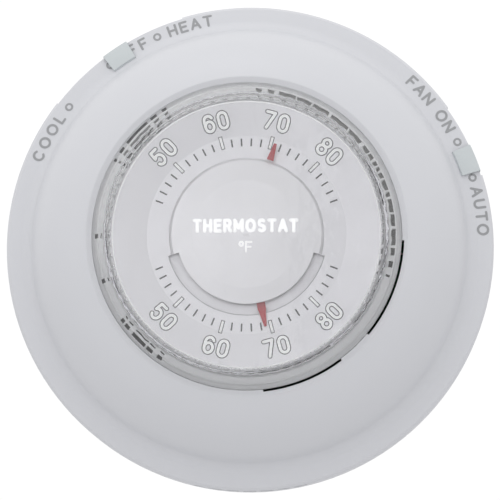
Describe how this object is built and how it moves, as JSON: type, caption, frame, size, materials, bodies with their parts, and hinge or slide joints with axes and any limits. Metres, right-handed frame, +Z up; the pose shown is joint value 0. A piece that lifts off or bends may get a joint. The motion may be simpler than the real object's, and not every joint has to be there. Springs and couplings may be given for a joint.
{
  "type": "wall thermostat",
  "caption": "Round wall thermostat with a clear turning dial, heating and fan levers on the rim, and a pull-off case on a wall plate.",
  "frame": {"origin": "centre of the back face, on the wall, midway between the two mounting slots", "axes": "+Z up the wall, +X to the right as seen from the front, +Y into the wall; the dial faces -Y"},
  "size_m": [0.1396, 0.0401, 0.1396],
  "materials": {
    "white_case": "fine-textured white ABS",
    "white_moulding": "plain white ABS moulding",
    "terminal_grey": "light grey terminal plastic",
    "frame_moulding": "moulding with a white front rim, dark inside",
    "sleeve_moulding": "moulding with a white front face, dark inside",
    "contact_brass": "plated contact metal",
    "plated_steel": "zinc-plated steel",
    "board_green": "solder mask on glass-epoxy board",
    "relay_black": "black moulded plastic",
    "can_aluminium": "aluminium can",
    "sensor_resin": "dipped resin bead",
    "trimmer_blue": "blue preset body",
    "silver_face": "satin silver-white paint",
    "silver_cap": "satin silver-white paint",
    "clear_dial": "clear polycarbonate",
    "pointer_red": "red painted pointer",
    "gear_acetal": "natural acetal",
    "bimetal": "bimetal strip",
    "lever_grey": "pale grey-green plastic"
  },
  "bodies": {
    "wall_plate_assembly": {"wall_plate": "white_moulding", "terminal_block_left": "terminal_grey", "terminal_block_right": "terminal_grey", "terminal_clips": "contact_brass", "terminal_screws": "plated_steel"},
    "case": {"housing": "white_case", "back_cover": "white_moulding", "case_screws": "plated_steel", "frame_screws": "plated_steel", "circuit_board": "board_green", "contact_pins": "contact_brass", "relays": "relay_black", "capacitors": "can_aluminium", "controller_chip": "relay_black", "chip_resistors": "relay_black", "temperature_sensor": "sensor_resin", "potentiometer_body": "relay_black", "cycle_rate_trimmer": "trimmer_blue", "dial_frame": "frame_moulding", "scale_plate": "silver_face", "center_cap": "silver_cap", "bimetal_coil": "bimetal"},
    "dial": {"clear_dial": "clear_dial", "set_pointer": "pointer_red", "dial_gear": "sleeve_moulding"},
    "potentiometer": {"potentiometer_shaft": "gear_acetal", "potentiometer_gear": "gear_acetal"},
    "thermometer": {"thermometer_arbor": "contact_brass", "room_pointer": "pointer_red"},
    "system_switch": {"system_lever": "lever_grey", "system_wiper": "contact_brass"},
    "fan_switch": {"fan_lever": "lever_grey", "fan_wiper": "contact_brass"},
    "cycle_rate": {"cycle_rate_rotor": "contact_brass"}
  },
  "joints": [
    {"name": "case_pull_off", "type": "slide", "parent": "wall_plate_assembly", "child": "case", "axis": [0, -1, 0], "range_m": [0, 0.05]},
    {"name": "dial_turn", "type": "hinge", "parent": "case", "child": "dial", "pos_m": [0, 0, 0], "axis": [0, -1, 0], "range_deg": [-51, 87]},
    {"name": "potentiometer_turn", "type": "hinge", "parent": "case", "child": "potentiometer", "pos_m": [0, 0, 0.019], "axis": [0, -1, 0], "range_deg": [-110, 180]},
    {"name": "thermometer_swing", "type": "hinge", "parent": "case", "child": "thermometer", "pos_m": [0, 0, 0], "axis": [0, -1, 0], "range_deg": [-80.7, 57.3], "stiffness_Nm_per_rad": 0.002, "deforming": ["bimetal_coil"]},
    {"name": "system_lever_slide", "type": "hinge", "parent": "case", "child": "system_switch", "pos_m": [0, 0, 0], "axis": [0, -1, 0], "range_deg": [-13.5, 14.5]},
    {"name": "fan_lever_slide", "type": "hinge", "parent": "case", "child": "fan_switch", "pos_m": [0, 0, 0], "axis": [0, -1, 0], "range_deg": [0, 9.5]},
    {"name": "cycle_rate_turn", "type": "hinge", "parent": "case", "child": "cycle_rate", "pos_m": [0, 0, 0.034], "axis": [0, -1, 0], "range_deg": [0, 270]}
  ],
  "couplings": [
    {"joint": "potentiometer_turn", "follows": "dial_turn", "ratio": 2}
  ]
}
